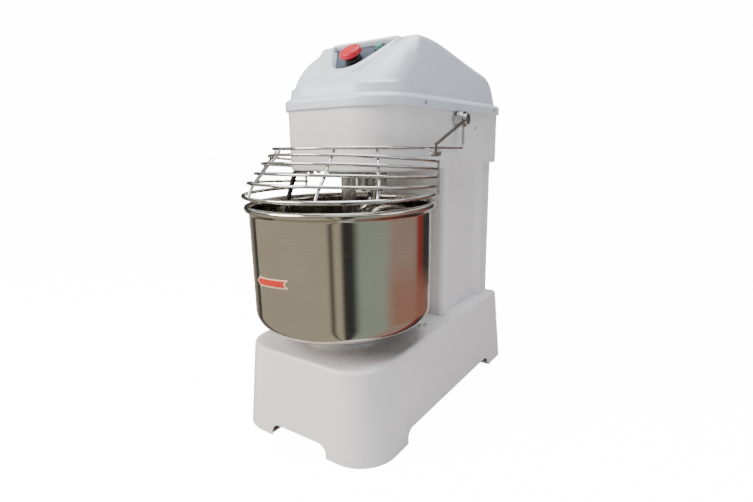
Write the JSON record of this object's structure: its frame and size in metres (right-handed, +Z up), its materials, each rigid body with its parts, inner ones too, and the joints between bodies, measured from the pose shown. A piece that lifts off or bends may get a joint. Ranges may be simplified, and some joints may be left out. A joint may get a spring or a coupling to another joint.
{
  "type": "spiral dough mixer",
  "caption": "Floor-standing spiral dough mixer with a turning steel bowl, a spiral hook, a fixed breaker bar, a hinged wire guard and a belt drive inside its casing.",
  "frame": {"origin": "middle of the whole machine's footprint, on the floor", "axes": "+Z up, +Y from the bowl towards the column and the machine's rear, +X to the right of a person who stands in front of the bowl and faces the machine"},
  "size_m": [0.4372, 0.7597, 0.8785],
  "materials": {
    "white_paint": "gloss white enamel",
    "white_cover": "gloss white",
    "steel_plate": "mill finish",
    "zinc_screw": "zinc plated",
    "black_plastic": "satin black",
    "panel_slate": "fine texture",
    "estop_red": "gloss",
    "button_green": "gloss",
    "stainless_bowl": "polished round the wall",
    "stainless_tool": "polished",
    "machined_steel": "turned",
    "bearing_steel": "ground",
    "cast_iron": "machined cast iron",
    "belt_rubber": "matt",
    "motor_aluminium": "cast, painted grey",
    "black_paint": "satin black",
    "guard_chrome": "bright chrome",
    "bronze_bush": "turned",
    "arrow_label": "printed label"
  },
  "bodies": {
    "machine": {"base_plate": "steel_plate", "base_shell": "white_paint", "bearing_flange_bolts": "zinc_screw", "bowl_bearing_housing": "cast_iron", "bowl_bearings": "bearing_steel", "bowl_belt": "belt_rubber", "breaker_bar": "stainless_tool", "breaker_bar_mount": "steel_plate", "cable_gland": "black_plastic", "casing_screws": "zinc_screw", "column_shell": "white_paint", "control_panel": "panel_slate", "countershaft_bearings": "bearing_steel", "countershaft_housings": "cast_iron", "estop_switch": "black_plastic", "foot_plates": "steel_plate", "guard_limit_switch": "black_plastic", "guard_pivot_bushes": "bronze_bush", "head_casing": "white_paint", "head_plate": "steel_plate", "hook_bearing_housing": "cast_iron", "hook_bearings": "bearing_steel", "hook_oil_seal": "belt_rubber", "motor_body": "motor_aluminium", "motor_fan_cowl": "black_plastic", "mounting_bolts": "zinc_screw", "rear_cover": "white_paint", "scraper_bar": "black_paint", "spiral_belt": "belt_rubber", "start_switch": "black_plastic", "top_cover": "white_cover", "transfer_belt": "belt_rubber"},
    "bowl": {"bowl": "stainless_bowl", "bowl_turntable": "cast_iron", "bowl_shaft": "machined_steel", "bowl_pulley": "cast_iron", "direction_arrow": "arrow_label"},
    "hook": {"spiral_hook": "stainless_tool", "hook_hub": "stainless_tool", "hook_shaft": "machined_steel", "hook_transfer_pulley": "cast_iron", "hook_drive_pulley": "cast_iron"},
    "countershaft": {"countershaft": "machined_steel", "countershaft_upper_pulley": "cast_iron", "countershaft_lower_pulley": "cast_iron"},
    "motor_rotor": {"motor_rotor": "machined_steel", "motor_pulley": "cast_iron", "motor_fan": "black_plastic"},
    "guard": {"guard_rim_ring": "guard_chrome", "guard_rings": "guard_chrome", "guard_top_ring": "guard_chrome", "guard_ribs": "guard_chrome", "guard_end_bars": "guard_chrome", "guard_arms": "guard_chrome", "guard_hubs": "guard_chrome", "guard_clamp_bolts": "zinc_screw"},
    "estop": {"estop_button": "estop_red"},
    "start": {"start_button": "button_green"}
  },
  "joints": [
    {"name": "hook_spin", "type": "hinge", "parent": "machine", "child": "hook", "pos_m": [0, -0.03712, 0.63], "axis": [0, 0, -1], "continuous": true},
    {"name": "bowl_spin", "type": "hinge", "parent": "machine", "child": "bowl", "pos_m": [0, -0.16212, 0.15], "axis": [0, 0, -1], "continuous": true},
    {"name": "countershaft_spin", "type": "hinge", "parent": "machine", "child": "countershaft", "pos_m": [0, 0.13787, 0.4], "axis": [0, 0, -1], "continuous": true},
    {"name": "motor_spin", "type": "hinge", "parent": "machine", "child": "motor_rotor", "pos_m": [0, 0.26787, 0.5], "axis": [0, 0, -1], "continuous": true},
    {"name": "guard_lift", "type": "hinge", "parent": "machine", "child": "guard", "pos_m": [0, 0.09287, 0.703], "axis": [-1, 0, 0], "range_deg": [0, 68]},
    {"name": "estop_press", "type": "slide", "parent": "machine", "child": "estop", "axis": [0, 0.6117, -0.7911], "range_m": [0, 0.005], "stiffness_N_per_m": 1500},
    {"name": "start_press", "type": "slide", "parent": "machine", "child": "start", "axis": [0, 0.6117, -0.7911], "range_m": [0, 0.003], "stiffness_N_per_m": 800}
  ],
  "couplings": [
    {"joint": "bowl_spin", "follows": "hook_spin", "ratio": 0.09375},
    {"joint": "countershaft_spin", "follows": "hook_spin", "ratio": 0.5},
    {"joint": "motor_spin", "follows": "hook_spin", "ratio": 5.3333}
  ]
}
